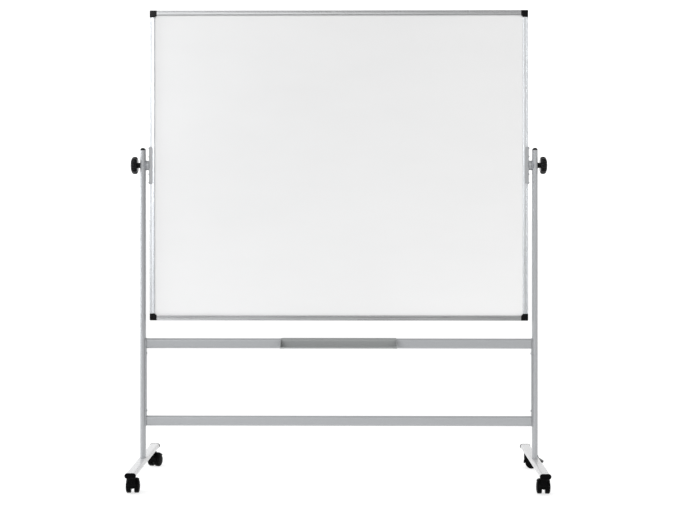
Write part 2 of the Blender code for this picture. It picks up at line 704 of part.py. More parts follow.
def hood_mesh(braked):
    """Castor body: a cover, a block on top that holds the stem and a web between the wheels.

    Local axes: the stem is the Z axis and the wheels trail towards +Y.
    """
    axle = (CASTOR_TRAIL, AXLE_HEIGHT)
    cover = cover_mesh(axle, 64 if braked else 42)
    chamfer = 0.0020
    boss_outline = ([(-BOSS_FRONT, 0.0320), (-BOSS_FRONT, CASTOR_TOP - chamfer),
                     (-BOSS_FRONT + chamfer, CASTOR_TOP), (BOSS_REAR, CASTOR_TOP)]
                    + arc(axle, HOOD_MIDDLE_RADIUS, 108, 172, 5))
    boss = extruded("boss", [boss_outline], "YZ", -BOSS_HALF_WIDTH, BOSS_HALF_WIDTH)
    low = AXLE_HEIGHT - 0.0055
    web_outline = arc(axle, HOOD_WEB_RADIUS, 191, 45, 10)
    if braked:
        web_outline += arc(BRAKE_PIVOT, BRAKE_HUB_RADIUS + 0.0032, 60, -80, 6)
    web_outline += [(CASTOR_TRAIL + 0.012, low), (CASTOR_TRAIL - 0.014, low)]
    web = extruded("web", [web_outline], "YZ", -HOOD_WEB, HOOD_WEB)
    steps = [
        ("UNION", web),
        ("UNION", boss),
        ("DIFFERENCE", moved(rod(-0.01, 0.01, AXLE_RADIUS + GAP, 16), (0.0, *axle))),
        ("DIFFERENCE", upright_rod(STEM_RADIUS + GAP, CASTOR_TOP - 0.0145,
                                   CASTOR_TOP + 0.01, 16)),
    ]
    if braked:
        hole = moved(rod(-0.01, 0.01, BRAKE_HUB_RADIUS + GAP, 16), (0.0, *BRAKE_PIVOT))
        steps.append(("DIFFERENCE", hole))
    return combined("castor_hood", cover, steps)


def wheel_mesh():
    """One castor wheel with a domed outer face and a blind bore, its hub at X = 0."""
    tread = WHEEL_RADIUS / math.cos(math.pi / WHEEL_SIDES)
    bore_end = WHEEL_WIDTH - 0.005
    profile = [
        (bore_end, 0.0),
        (bore_end, AXLE_RADIUS + GAP),
        (0.0, AXLE_RADIUS + GAP),
        (0.0, 0.94 * tread),
        (0.0015, tread),
        (0.0155, tread),
        (0.0179, 0.93 * tread),
        (0.0196, 0.76 * tread),
        (0.0212, 0.42 * tread),
        (WHEEL_WIDTH, 0.0),
    ]
    return turned("castor_wheel", profile, WHEEL_SIDES, phase=0.5)


def stem_mesh():
    """Castor stem, fixed in the foot, with a collar that the foot rests on."""
    low = CASTOR_TOP - 0.014
    collar_low = CASTOR_TOP + GAP
    collar_high = FOOT_BOTTOM - GAP
    high = FOOT_TOP - TUBE_WALL - 0.003
    pin = arc((0, 0), STEM_RADIUS, 0, 337.5, 15)
    collar = arc((0, 0), STEM_FLANGE_RADIUS, 0, 337.5, 15)
    rings = [(pin, low), (pin, collar_low), (collar, collar_low), (collar, collar_high),
             (pin, collar_high), (pin, high)]
    return lofted("castor_stem", rings, "XY")


def brake_mesh():
    """Foot lever: a hub through the web, two arms and a tread plate that slopes down.

    Its origin is on its own hinge axis.
    """
    tip = (BRAKE_REACH, -BRAKE_DROP)
    heel = (BRAKE_REACH - 0.0065, -BRAKE_DROP - 0.0050)
    top = [(0.0, BRAKE_HUB_RADIUS), (0.0045, 0.0008), (0.0085, -0.0072), tip]
    under = [heel, (0.0070, -0.0115), (0.0040, -0.0050), (0.0, -0.0038)]
    plate = extruded("plate", [top + under], "YZ", -BRAKE_HALF_WIDTH, BRAKE_HALF_WIDTH)
    slot_half = HOOD_WEB + 0.0005
    slot = box("slot", (-slot_half, -0.02, -0.02), (slot_half, 0.0095, 0.02))
    hub = rod(-BRAKE_HALF_WIDTH, BRAKE_HALF_WIDTH, BRAKE_HUB_RADIUS, 16)
    return combined("brake_lever", plate, [("DIFFERENCE", slot), ("UNION", hub)])


def add_castors(materials):
    wheel_right = wheel_mesh()
    wheel_left = mirrored(wheel_mesh())
    axle_half = WHEEL_INNER + WHEEL_WIDTH - 0.006
    axle = rod(-axle_half, axle_half, AXLE_RADIUS, 16)
    stem = stem_mesh()
    hoods = {False: hood_mesh(False), True: hood_mesh(True)}
    brake = brake_mesh()
    for name, side, end, heading, braked in CASTORS:
        foot = (side * UPRIGHT_X, end * CASTOR_Y, 0.0)
        add(name + "_stem", stem, materials["steel"], foot)
        swivel = add_pivot(name + "_swivel", foot, (0.0, 0.0, -math.radians(heading)))
        black = materials["castor"]
        add(name + "_hood", hoods[braked], black, parent=swivel)
        hub = (0.0, CASTOR_TRAIL, AXLE_HEIGHT)
        add(name + "_axle", axle, materials["steel"], hub, parent=swivel)
        add(name + "_wheel_a", wheel_left, black, (-WHEEL_INNER, *hub[1:]), parent=swivel)
        add(name + "_wheel_b", wheel_right, black, (WHEEL_INNER, *hub[1:]), parent=swivel)
        if braked:
            add(name + "_brake", brake, black, (0.0, *BRAKE_PIVOT), parent=swivel)


# ---------------------------------------------------------------- whole object
def build():
    for item in list(bpy.data.objects):
        bpy.data.objects.remove(item, do_unlink=True)
    materials = make_materials()
    board = add_pivot("board_pivot", (0.0, 0.0, PIVOT_HEIGHT))
    add_panel(materials, board)
    add_edge_profiles(materials, board)
    add_corner_caps(materials, board)
    add_pivots(materials, board)
    add_clamps(materials)
    add_uprights_and_feet(materials)
    add_spacers(materials)
    add_cross_frame(materials)
    add_pen_tray(materials)
    add_castors(materials)


build()
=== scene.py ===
"""Looks of the rolling whiteboard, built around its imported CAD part.

Metres and the part's own axes: +X runs along the board, the writer stands at -Y, +Z is up.
"""

import json
import math

import bmesh
import bpy
from mathutils import Matrix, Vector


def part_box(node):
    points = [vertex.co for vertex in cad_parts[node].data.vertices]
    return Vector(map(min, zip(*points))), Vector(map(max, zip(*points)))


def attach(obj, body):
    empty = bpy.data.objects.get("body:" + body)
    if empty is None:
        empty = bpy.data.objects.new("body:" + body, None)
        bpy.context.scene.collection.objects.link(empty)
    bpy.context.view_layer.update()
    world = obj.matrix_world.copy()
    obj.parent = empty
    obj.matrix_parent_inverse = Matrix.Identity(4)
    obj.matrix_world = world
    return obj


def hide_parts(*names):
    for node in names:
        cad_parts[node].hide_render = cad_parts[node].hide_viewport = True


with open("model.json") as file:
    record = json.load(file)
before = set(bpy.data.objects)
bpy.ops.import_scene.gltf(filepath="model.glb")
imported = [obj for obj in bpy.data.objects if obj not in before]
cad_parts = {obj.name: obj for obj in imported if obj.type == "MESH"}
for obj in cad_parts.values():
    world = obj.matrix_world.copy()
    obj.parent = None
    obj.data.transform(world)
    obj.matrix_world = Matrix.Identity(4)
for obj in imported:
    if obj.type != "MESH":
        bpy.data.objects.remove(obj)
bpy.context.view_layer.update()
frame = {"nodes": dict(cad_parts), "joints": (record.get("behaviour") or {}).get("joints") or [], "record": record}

# ---------------------------------------------------------------- names from the record
SIDES = (("left", -1.0), ("right", 1.0))
JOINTS = {joint["name"]: joint for joint in frame["joints"]}
SLOT_OF = {part["node"]: part["material_slot"] for part in frame["record"]["subparts"]}
BODY_OF = {node: body for body, nodes in frame["record"]["behaviour"]["bodies"].items()
           for node in nodes}
CASTORS = ("castor_front_left", "castor_front_right", "castor_rear_left", "castor_rear_right")

# ---------------------------------------------------------------- sizes of the details
AIR = 0.0003                # gap between pieces that touch
EDGE = 0.0004               # broken edge of cut metal
TUBE_STEPS = 20             # flats in each half-round side of a tube
SHARP_ANGLE = 38            # edges steeper than this stay sharp, in degrees
CAD_SHARP_ANGLE = 32        # the same for the coarser carried-over CAD nodes

PROFILE_FACE = 0.020        # width of the board's edge profile
PROFILE_SLOT = 0.0055       # half thickness of the slot that grips the panel
PROFILE_SLOT_ROOT = 0.008
CAP_ROUND = 0.0035
CAP_EDGE = 0.0011
CAP_CHAMFER = 0.0022        # at the inner corners of a corner cap

PLATE_WEB = 0.0025
PLATE_FLANGE = 0.0020
PLATE_REACH = 0.0115
PLATE_BEND = 0.0025
PLATE_CORNER = 0.006
HUB_RADIUS = 0.0190
HUB_FOOT_RADIUS = 0.020
HUB_FOOT = 0.003
SCREW_RADIUS = 0.0042
SCREW_HEIGHT = 0.0036
SCREW_RECESS = 0.42         # cross recess, as a part of the head's radius
PLATE_SCREWS = (0.0685, 0.035)      # above and below the pivot
STRIP_SCREW_HIGH = 0.0395           # below the middle of the upper rail
STRIP_SCREW_LOW = 0.0405            # above the middle of the lower rail
STRIP_CORNER = 0.004
RIVET_INSET = 0.0055        # from the board's edge and from the bracket's lower end
RIVET_SIZE = 0.36           # of a screw's size

KNOB_LOBES = 8
KNOB_LOBE_DEPTH = 0.0042
KNOB_ROUND = 0.0135         # the knob is plain round inside this radius
KNOB_RADIUS = 0.0345
WASHER_BORE = 0.0043

FOOT_CAP_PLATE = 0.0036
DOME_END = 82.0             # an upright cap's dome runs to this angle, in degrees
TRAY_WALL = 0.0018
TRAY_BEND = 0.0030
TRAY_SLEEVE = 0.0150
TRAY_LIP = 0.0048           # height of the lip's top above the middle of the floor's wall
TRAY_HOOK_END = 0.006       # end of the hook, above the middle of the rail
TRAY_FRONT_START = 0.002    # the tray's flat front starts this far below the rail's round
SKIRT_START = 24            # first point of the tray's path that the end sleeves follow
CHEEK_SHOULDER = 0.008
CHEEK_ROUND = 0.0022

WHEEL_INNER = 0.0056
HOOD_OUTER = 0.0325
HOOD_SECTION = (                    # distance from the middle plane, radius from the axle
    (0.02450, 0.02660), (0.02445, 0.02700), (0.02410, 0.02770), (0.02330, 0.02860),
    (0.02220, 0.02955), (0.02050, 0.03070), (0.01800, 0.03170), (0.01550, 0.03225),
    (0.01300, HOOD_OUTER),
)
HOOD_INNER = 0.0263
HOOD_FRONT_END = 184        # the cover's ends, in degrees about the axle
HOOD_REAR_END = 42
HOOD_REAR_END_BRAKED = 64
HOOD_WEB = 0.0045
HOOD_WEB_RADIUS = 0.0275
WEB_BELOW_AXLE = 0.0055
WEB_FOOT = (0.012, -0.014)  # the web's lower corners, behind and before the axle
WEB_ROUND_BRAKE = 0.0032    # width of the web round the brake's hub
BOSS_HALF_WIDTH = 0.0115
BOSS_FRONT = 0.0105
BOSS_REAR = 0.0110
BOSS_ROUND = 0.0050
BOSS_FOOT = 0.0320          # lower end of its front, above the floor
CASTOR_TRAIL = 0.020
BRAKE_PIVOT = (0.0405, 0.0475)
BRAKE_HUB = 0.0042
BRAKE_HALF_WIDTH = 0.015
BRAKE_REACH = 0.0290
BRAKE_DROP = 0.0195
BRAKE_RIBS = 5
BRIDGE_FRONT = 0.0098       # the tread plate joins both arms from here on
BRIDGE_UNDER = -0.0136

# ---------------------------------------------------------------- materials
class Look:
    """A Principled material whose detail comes from noise in the piece's own space."""

    def __init__(self, name, colour, roughness, metallic=0.0, **fixed):
        self.material = bpy.data.materials.new(name)
        self.material.use_nodes = True
        self.nodes = self.material.node_tree.nodes
        self.links = self.material.node_tree.links
        self.shader = self.nodes["Principled BSDF"]
        self.colour = colour
        self.shader.inputs["Base Color"].default_value = (*colour, 1.0)
        self.shader.inputs["Roughness"].default_value = roughness
        self.shader.inputs["Metallic"].default_value = metallic
        for socket, value in fixed.items():
            self.shader.inputs[socket.replace("_", " ")].default_value = value
        self.place = self.nodes.new("ShaderNodeTexCoord").outputs["Object"]
        self.normal = None

    def noise(self, scale, detail=3.0, stretch=(1.0, 1.0, 1.0)):
        mapping = self.nodes.new("ShaderNodeMapping")
        mapping.inputs["Scale"].default_value = stretch
        self.links.new(self.place, mapping.inputs["Vector"])
        texture = self.nodes.new("ShaderNodeTexNoise")
        texture.inputs["Scale"].default_value = scale
        texture.inputs["Detail"].default_value = detail
        self.links.new(mapping.outputs["Vector"], texture.inputs["Vector"])
        return texture.outputs["Fac"]

    def cells(self, scale):
        texture = self.nodes.new("ShaderNodeTexVoronoi")
        texture.inputs["Scale"].default_value = scale
        self.links.new(self.place, texture.inputs["Vector"])
        return texture.outputs["Distance"]

    def spread(self, source, low, high, start=0.35, end=0.65):
        """Map the middle of a noise onto low..high."""
        node = self.nodes.new("ShaderNodeMapRange")
        for socket, value in (("From Min", start), ("From Max", end),
                              ("To Min", low), ("To Max", high)):
            node.inputs[socket].default_value = value
        self.links.new(source, node.inputs["Value"])
        return node.outputs["Result"]

    def tint(self, source, dark, light=1.0):
        """Vary the base colour between dark and light times its own value."""
        mix = self.nodes.new("ShaderNodeMix")
        mix.data_type = "RGBA"
        mix.inputs["A"].default_value = (*[dark * part for part in self.colour], 1.0)
        mix.inputs["B"].default_value = (*[min(1.0, light * part) for part in self.colour], 1.0)
        self.links.new(self.spread(source, 0.0, 1.0), mix.inputs["Factor"])
        self.links.new(mix.outputs["Result"], self.shader.inputs["Base Color"])
        return self

    def gloss(self, source, low, high):
        self.links.new(self.spread(source, low, high), self.shader.inputs["Roughness"])
        return self

    def bump(self, source, height):
        node = self.nodes.new("ShaderNodeBump")
        node.inputs["Strength"].default_value = 1.0
        node.inputs["Distance"].default_value = height
        self.links.new(source, node.inputs["Height"])
        if self.normal:
            self.links.new(self.normal, node.inputs["Normal"])
        self.normal = node.outputs["Normal"]
        self.links.new(self.normal, self.shader.inputs["Normal"])
        return self


def enamel_look():
    """Glossy white enamel: a faint orange peel, wiping marks and a trace of ink haze."""
    look = Look("enamel_white", (0.89, 0.89, 0.89), 0.14, Specular_IOR_Level=0.30)
    look.tint(look.noise(5.0, 4.0, (0.6, 1.0, 1.6)), 0.988)
    look.gloss(look.noise(14.0, 5.0, (0.35, 1.0, 1.5)), 0.12, 0.20)
    return look.bump(look.noise(420.0, 1.0), 0.000006)


def aluminium_look(name, colour, stretch):
    """Satin anodised extrusion with drawing lines along its length."""
    look = Look(name, colour, 0.30, 0.9)
    lines = look.noise(700.0, 3.0, stretch)
    look.tint(lines, 0.90, 1.05)
    look.gloss(look.noise(260.0, 4.0, stretch), 0.24, 0.38)
    return look.bump(lines, 0.000010)


def paint_look(name, colour, roughness, metallic, coat=0.0, wave=0.000012):
    """Powder coat: fine pebbled skin with small bright flakes."""
    look = Look(name, colour, roughness, metallic, Coat_Weight=coat, Coat_Roughness=0.25)
    look.tint(look.noise(2200.0, 2.0), 0.93, 1.06)
    look.gloss(look.noise(55.0, 4.0), roughness - 0.03, roughness + 0.03)
    look.bump(look.noise(1100.0, 2.0), 0.000022)
    return look.bump(look.noise(28.0, 2.0), wave)


def moulded_look(name, colour, roughness, level, grain=900.0):
    """Moulded plastic: spark-eroded grain, with rubbed patches that shine a little more."""
    look = Look(name, colour, roughness, 0.0, Specular_IOR_Level=level)
    look.tint(look.noise(90.0, 4.0), 0.75, 1.25)
    look.gloss(look.noise(60.0, 5.0), roughness - 0.08, roughness + 0.08)
    look.bump(look.cells(grain), 0.000035)
    return look.bump(look.noise(240.0, 3.0), 0.000030)


def steel_look():
    """Zinc-plated steel with the cloudy patches of passivation."""
    look = Look("zinc_plate", (0.46, 0.47, 0.48), 0.34, 1.0)
    look.tint(look.noise(160.0, 4.0), 0.82, 1.05)
    look.gloss(look.noise(300.0, 3.0), 0.26, 0.44)
    return look.bump(look.noise(1500.0, 2.0), 0.000008)


def core_look():
    """Raw fibre board, only seen where the profile is open."""
    look = Look("fibre_board", (0.55, 0.45, 0.33), 0.85)
    look.tint(look.noise(350.0, 5.0, (1.0, 6.0, 1.0)), 0.70, 1.15)
    look.gloss(look.noise(80.0), 0.78, 0.92)
    return look.bump(look.noise(600.0, 4.0), 0.000120)


LOOKS = {
    "enamel": enamel_look(),
    # One anodised aluminium in two copies: the level profiles' base colour is darkened (painted shade) and the
    # upright profiles' base colour is lightened (painted light).
    "aluminium_shaded_level": aluminium_look("aluminium_drawn_level_painted_shade", (0.48, 0.485, 0.49),
                                      (0.012, 1.0, 1.0)),
    "aluminium_lit_upright": aluminium_look("aluminium_drawn_upright_painted_light", (0.74, 0.76, 0.78),
                                        (1.0, 1.0, 0.012)),
    "frame_paint": paint_look("silver_powder_coat", (0.40, 0.41, 0.422), 0.42, 0.25),
    # The feet's base colour is set paler than the uprights' coat. This is painted light from above on their top
    # faces.
    "foot_paint": paint_look("foot_powder_coat_painted_light", (0.56, 0.56, 0.565), 0.30, 0.0, 0.4, 0.000003),
    "tray_metal": paint_look("tray_satin_grey", (0.335, 0.345, 0.345), 0.46, 0.15),
    "grey_plastic": moulded_look("grey_moulding", (0.30, 0.31, 0.33), 0.45, 0.5),
    "black_plastic": moulded_look("black_moulding", (0.0022, 0.0022, 0.0028), 0.24, 0.15),
    "castor_plastic": moulded_look("castor_nylon", (0.0012, 0.0012, 0.0013), 0.28, 0.04),
    "zinc_steel": steel_look(),
    "panel_core": core_look(),
}


# ---------------------------------------------------------------- mesh helpers
PLANES = {
    "XY": (Vector((1, 0, 0)), Vector((0, 1, 0)), Vector((0, 0, 1))),
    "XZ": (Vector((1, 0, 0)), Vector((0, 0, 1)), Vector((0, 1, 0))),
    "YZ": (Vector((0, 1, 0)), Vector((0, 0, 1)), Vector((1, 0, 0))),
}


def meshed(bm):
    bmesh.ops.recalc_face_normals(bm, faces=bm.faces[:])
    mesh = bpy.data.meshes.new("mesh")
    bm.to_mesh(mesh)
    bm.free()
    return mesh


def arc(centre, radius, start, end, steps):
    """Points on an arc, from start to end in degrees, both ends included."""
    points = []
    for step in range(steps + 1):
        angle = math.radians(start + (end - start) * step / steps)
        points.append((centre[0] + radius * math.cos(angle),
                       centre[1] + radius * math.sin(angle)))
    return points


def stadium(half_long, half_short, inset=0.0):
    """Flat-oval outline with its long side along the first axis."""
    straight = half_long - half_short
    radius = half_short - inset
    return (arc((straight, 0), radius, -90, 90, TUBE_STEPS)
            + arc((-straight, 0), radius, 90, 270, TUBE_STEPS))


def skin(rings):
    """Join equal rings of points and close both ends."""
    bm = bmesh.new()
    loops = [[bm.verts.new(point) for point in ring] for ring in rings]
    for lower, upper in zip(loops, loops[1:]):
        for index in range(len(lower)):
            after = (index + 1) % len(lower)
            bm.faces.new((lower[index], lower[after], upper[after], upper[index]))
    bm.faces.new(loops[0])
    bm.faces.new(loops[-1])
    return meshed(bm)


def prism(outline, plane, start, end):
    first, second, along = PLANES[plane]
    return skin([[first * a + second * b + along * height for a, b in outline]
                 for height in (start, end)])


def turned(profile, sides, shape=None):
    """Turn (along X, radius) points about X; a zero radius closes the form on the axis."""
    bm = bmesh.new()
    rings = []
    for along, radius in profile:
        if radius == 0.0:
            rings.append([bm.verts.new((along, 0.0, 0.0))])
            continue
        ring = []
        for side in range(sides):
            angle = 2 * math.pi * side / sides
            reach = shape(radius, angle) if shape else radius
            ring.append(bm.verts.new((along, reach * math.cos(angle), reach * math.sin(angle))))
        rings.append(ring)
    pairs = list(zip(rings, rings[1:]))
    if len(rings[0]) > 1:
        pairs.append((rings[-1], rings[0]))
    for lower, upper in pairs:
        for side in range(sides):
            after = (side + 1) % sides
            corners = [lower[side % len(lower)], lower[after % len(lower)],
                       upper[after % len(upper)], upper[side % len(upper)]]
            bm.faces.new(list(dict.fromkeys(corners)))
    return meshed(bm)


def softened(mesh, width, segments=2, angle=35.0, chosen=None):
    """Round the mesh's sharp edges, or only those that chosen(edge) accepts."""
    bm = bmesh.new()
    bm.from_mesh(mesh)
    edges = [edge for edge in bm.edges if edge.calc_face_angle(0.0) > math.radians(angle)
             and (chosen is None or chosen(edge))]
    bmesh.ops.bevel(bm, geom=edges, offset=width, segments=segments, profile=0.5,
                    affect="EDGES", clamp_overlap=True)
    bm.to_mesh(mesh)
    bm.free()
    return mesh


def joined(meshes):
    """Put several closed shells into one mesh."""
    bm = bmesh.new()
    for mesh in meshes:
        bm.from_mesh(mesh)
    result = bpy.data.meshes.new("mesh")
    bm.to_mesh(result)
    bm.free()
    return result


def mirrored(mesh):
    mesh.transform(Matrix.Diagonal((-1.0, 1.0, 1.0, 1.0)))
    mesh.flip_normals()
    return mesh


def sided(mesh, side):
    return mesh if side > 0 else mirrored(mesh)


def add(name, mesh, node, look=None, place=None, stands_in=True):
    """Add a piece that rides with a CAD node and, unless told otherwise, replaces it."""
    slot = SLOT_OF[node]
    mesh.materials.clear()
    mesh.materials.append(LOOKS[look or slot].material)
    mesh.shade_smooth()
    mesh.set_sharp_from_angle(angle=math.radians(SHARP_ANGLE))
    mesh.name = name
    item = bpy.data.objects.new(name, mesh)
    bpy.context.scene.collection.objects.link(item)
    if place is not None:
        item.matrix_world = place
    weighted = item.modifiers.new("weighted", "WEIGHTED_NORMAL")
    weighted.keep_sharp = True
    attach(item, BODY_OF[node])
    if stands_in:
        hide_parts(node)
    return item


def middle(node):
    low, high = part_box(node)
    return (low + high) / 2


# ---------------------------------------------------------------- screws
def screw_mesh():
    """Pan-head screw with a cross recess; its axis is +X and its seat is at zero."""
    recess = SCREW_RECESS * SCREW_RADIUS

    def crossed(radius, angle):
        if radius > recess + 1e-6:
            return radius
        return radius * (0.42 + 0.58 * abs(math.cos(2 * angle)) ** 3)

    profile = [
        (-0.0005, 0.0),
        (-0.0005, 0.96 * SCREW_RADIUS),
        (0.0003, SCREW_RADIUS),
        (0.45 * SCREW_HEIGHT, 0.98 * SCREW_RADIUS),
        (0.72 * SCREW_HEIGHT, 0.90 * SCREW_RADIUS),
        (0.90 * SCREW_HEIGHT, 0.74 * SCREW_RADIUS),
        (SCREW_HEIGHT, 0.52 * SCREW_RADIUS),
        (SCREW_HEIGHT, recess),
        (0.45 * SCREW_HEIGHT, 0.7 * recess),
        (0.40 * SCREW_HEIGHT, 0.0),
    ]
    return turned(profile, 32, crossed)


def add_screw(name, node, point, direction, size=1.0):
    turn = Vector((1, 0, 0)).rotation_difference(Vector(direction)).to_matrix().to_4x4()
    mesh = screw_mesh()
    mesh.transform(Matrix.Scale(size, 4))
    add(name, mesh, node, "zinc_steel", Matrix.Translation(point) @ turn, stands_in=False)


# ---------------------------------------------------------------- board
def profile_half():
    """Front half of the edge profile as (inwards from the board's edge, depth).

    From the outside in: a round bead, a groove, a shallow dished field, a fine groove
    and a lip that slopes down to the writing face.
    """
    return (arc((0.0014, 0.0096), 0.0014, 180, 90, 4)
            + [(0.0044, 0.0110), (0.0049, 0.0107), (0.0053, 0.0101), (0.0059, 0.0100),
               (0.0063, 0.0103), (0.0069, 0.0106), (0.0087, 0.0104), (0.0110, 0.01035),
               (0.0133, 0.0104), (0.0151, 0.0106), (0.0155, 0.0103), (0.0158, 0.0099),
               (0.0163, 0.0099), (0.0166, 0.0102), (0.0171, 0.0106), (0.0184, 0.0105),
               (0.0192, 0.0101), (0.0197, 0.0094), (PROFILE_FACE, 0.0085),
               (PROFILE_FACE, 0.0060), (0.0197, PROFILE_SLOT),
               (PROFILE_SLOT_ROOT, PROFILE_SLOT)])


def add_profile(name, along, sign, look):
    """One edge profile; along is its axis, sign the side of the board that it's on."""
    low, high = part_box(name)
    across = 2 - along
    outer = high[across] if sign > 0 else low[across]
    half = profile_half()
    outline = half + [(inwards, -depth) for inwards, depth in reversed(half)]
    rings = []
    for end in (low[along], high[along]):
        ring = []
        for inwards, depth in outline:
            point = Vector((0.0, depth, 0.0))
            point[across] = outer - sign * inwards
            point[along] = end
            ring.append(point)
        rings.append(ring)
    add(name + "_extrusion", skin(rings), name, look)


def corner_cap_mesh(reach, half_depth):
    """A top left cap: outer corner at the origin, legs along +X and -Z."""
    outline = arc((CAP_ROUND, -CAP_ROUND), CAP_ROUND, 180, 90, 8) + [
        (reach, 0.0), (reach, -PROFILE_FACE),
        (reach - CAP_CHAMFER, -PROFILE_FACE - 0.6 * CAP_CHAMFER),
        (PROFILE_FACE + 0.6 * CAP_CHAMFER, -reach + CAP_CHAMFER),
        (PROFILE_FACE, -reach), (0.0, -reach),
    ]
    mesh = prism(outline, "XZ", -half_depth, half_depth)

    def round_the_face(edge):
        return abs(edge.verts[0].co.y - edge.verts[1].co.y) < 1e-6

    return softened(mesh, CAP_EDGE, 4, 30.0, round_the_face)


def add_corner_caps():
    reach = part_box("frame_top")[0].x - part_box("corner_cap_top_left")[0].x - AIR
    corners = ("top_left", "top_right", "bottom_right", "bottom_left")
    for quarter, corner in enumerate(corners):
        node = "corner_cap_" + corner
        low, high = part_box(node)
        place = Vector((low.x if "left" in corner else high.x, 0.0,
                        high.z if "top" in corner else low.z))
        turn = Matrix.Rotation(quarter * math.pi / 2, 4, "Y")
        add(node + "_moulding", corner_cap_mesh(reach, high.y), node,
            place=Matrix.Translation(place) @ turn)


def pivot_plate_mesh(edge, profile_depth, half_height):
    """U-shaped bracket on the board's right edge, with rounded flange corners."""
    inner = profile_depth + AIR
    outer = inner + PLATE_FLANGE
    web_inner = edge + AIR
    web_outer = web_inner + PLATE_WEB
    tip = edge - PLATE_REACH
    bend = PLATE_BEND
    small = bend - PLATE_FLANGE + AIR
    outline = ([(tip, -outer)] + arc((web_outer - bend, -outer + bend), bend, -90, 0, 8)
               + arc((web_outer - bend, outer - bend), bend, 0, 90, 8)
               + [(tip, outer), (tip, inner)]
               + arc((web_inner - small, inner - small), small, 90, 0, 4)
               + arc((web_inner - small, -inner + small), small, 0, -90, 4)
               + [(tip, -inner)])
    mesh = prism(outline, "XY", -half_height, half_height)

    def at_tip(item):
        ends = [vert.co for vert in item.verts]
        return (all(abs(end.x - tip) < 1e-6 for end in ends)
                and abs(ends[0].z - ends[1].z) < 1e-6)

    mesh = softened(mesh, PLATE_CORNER, 8, 30.0, at_tip)
    return softened(mesh, 0.0003, 2, 60.0)


def hub_mesh(start, end):
    return turned([
        (start - 0.0005, 0.0),
        (start - 0.0005, HUB_FOOT_RADIUS - 0.0006),
        (start + 0.0005, HUB_FOOT_RADIUS),
        (start + HUB_FOOT - 0.0008, HUB_FOOT_RADIUS),
        (start + HUB_FOOT, HUB_FOOT_RADIUS - 0.0008),
        (start + HUB_FOOT, HUB_RADIUS + 0.0006),
        (start + HUB_FOOT + 0.0006, HUB_RADIUS),
        (end - 0.0007, HUB_RADIUS),
        (end, HUB_RADIUS - 0.0007),
        (end, 0.0),
    ], 64)


def add_pivots():
    pivot = Vector(JOINTS["board_spin"]["pos_m"])
    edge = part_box("frame_right")[1].x
    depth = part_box("frame_right")[1].y
    for side_name, side in SIDES:
        node = "pivot_plate_" + side_name
        low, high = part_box(node)
        half_height = (high.z - low.z) / 2
        centre = Matrix.Translation((0.0, 0.0, pivot.z))
        plate = pivot_plate_mesh(edge, depth, half_height)
        add(node + "_bracket", sided(plate, side), node, place=centre)
        web = edge + AIR + PLATE_WEB
        hub_end = max(abs(low.x), abs(high.x))
        add(node + "_hub", sided(hub_mesh(web, hub_end), side), node, place=centre,
            stands_in=False)
        number = 0
        for offset in PLATE_SCREWS:
            for up in (1.0, -1.0):
                number += 1
                point = (side * web, 0.0, pivot.z + up * offset)
                add_screw(f"{node}_screw_{number}", node, point, (side, 0.0, 0.0))
    low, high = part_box("pivot_plate_left")
    rivet = (-edge + RIVET_INSET, -(depth + AIR + PLATE_FLANGE), low.z + RIVET_INSET)
    add_screw("pivot_plate_left_flange_rivet", "pivot_plate_left", rivet, (0.0, -1.0, 0.0),
              RIVET_SIZE)


# ---------------------------------------------------------------- clamps
def lobed(radius, angle):
    """Draw the knob's rim in between its lobes."""
    if radius <= KNOB_ROUND:
        return radius
    valley = (0.5 - 0.5 * math.cos(KNOB_LOBES * angle)) ** 1.6
    depth = KNOB_LOBE_DEPTH * valley * (radius - KNOB_ROUND) / (KNOB_RADIUS - KNOB_ROUND)
    return radius - depth


def knob_mesh():
    """Hand knob: waisted neck, scalloped rim, domed face with an inset disc."""
    profile = [
        (0.0000, 0.0), (0.0000, 0.0098), (0.0006, 0.0109), (0.0016, 0.0112), (0.0040, 0.0107),
        (0.0068, 0.0107), (0.0080, 0.0113), (0.0085, 0.0128), (0.0085, 0.0240),
        (0.0088, 0.0272), (0.0096, 0.0300), (0.0110, 0.0322), (0.0135, 0.0337),
        (0.0175, 0.0344), (0.0215, KNOB_RADIUS), (0.0255, 0.0339), (0.0290, 0.0322),
        (0.0315, 0.0293), (0.0332, 0.0255), (0.0343, 0.0210), (0.0350, 0.0165),
        (0.0352, 0.0140), (0.0349, 0.0134), (0.0346, 0.0129), (0.0349, 0.0124),
        (0.0354, 0.0118), (0.0358, 0.0085), (0.0360, 0.0045), (0.0360, 0.0),
    ]
    return turned(profile, 16 * KNOB_LOBES, lobed)


def washer_mesh(thickness, radius, bore):
    chamfer = 0.0003
    return turned([(0.0, bore), (0.0, radius - chamfer), (chamfer, radius),
                   (thickness - chamfer, radius), (thickness, radius - chamfer),
                   (thickness, bore)], 48)


def spacer_mesh(length, radius):
    """Saddle washer, from the hub out to the upright, with a fine groove round its middle."""
    return turned([(0.0, 0.0), (0.0, radius - 0.0006), (0.0006, radius),
                   (0.42 * length, radius), (0.46 * length, radius - 0.0005),
                   (0.50 * length, radius - 0.0005), (0.54 * length, radius),
                   (length - 0.0008, radius), (length, radius - 0.0010), (length, 0.0)], 64)


def add_clamps():
    for side_name, side in SIDES:
        node = "clamp_washer_" + side_name
        low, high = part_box(node)
        inner = min(abs(low.x), abs(high.x))
        centre = middle(node)
        place = Matrix.Translation((side * inner, 0.0, centre.z))
        mesh = washer_mesh(high.x - low.x, (high.z - low.z) / 2, WASHER_BORE)
        add(node + "_disc", sided(mesh, side), node, place=place)

        node = "clamp_knob_" + side_name
        low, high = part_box(node)
        inner = min(abs(low.x), abs(high.x))
        add(node + "_grip", sided(knob_mesh(), side), node,
            place=Matrix.Translation((side * inner, 0.0, centre.z)))

        node = "pivot_spacer_" + side_name
        low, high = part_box(node)
        inner = min(abs(low.x), abs(high.x))
        mesh = spacer_mesh(high.x - low.x, (high.z - low.z) / 2)
        add(node + "_saddle", sided(mesh, side), node,
            place=Matrix.Translation((side * inner, 0.0, centre.z)))


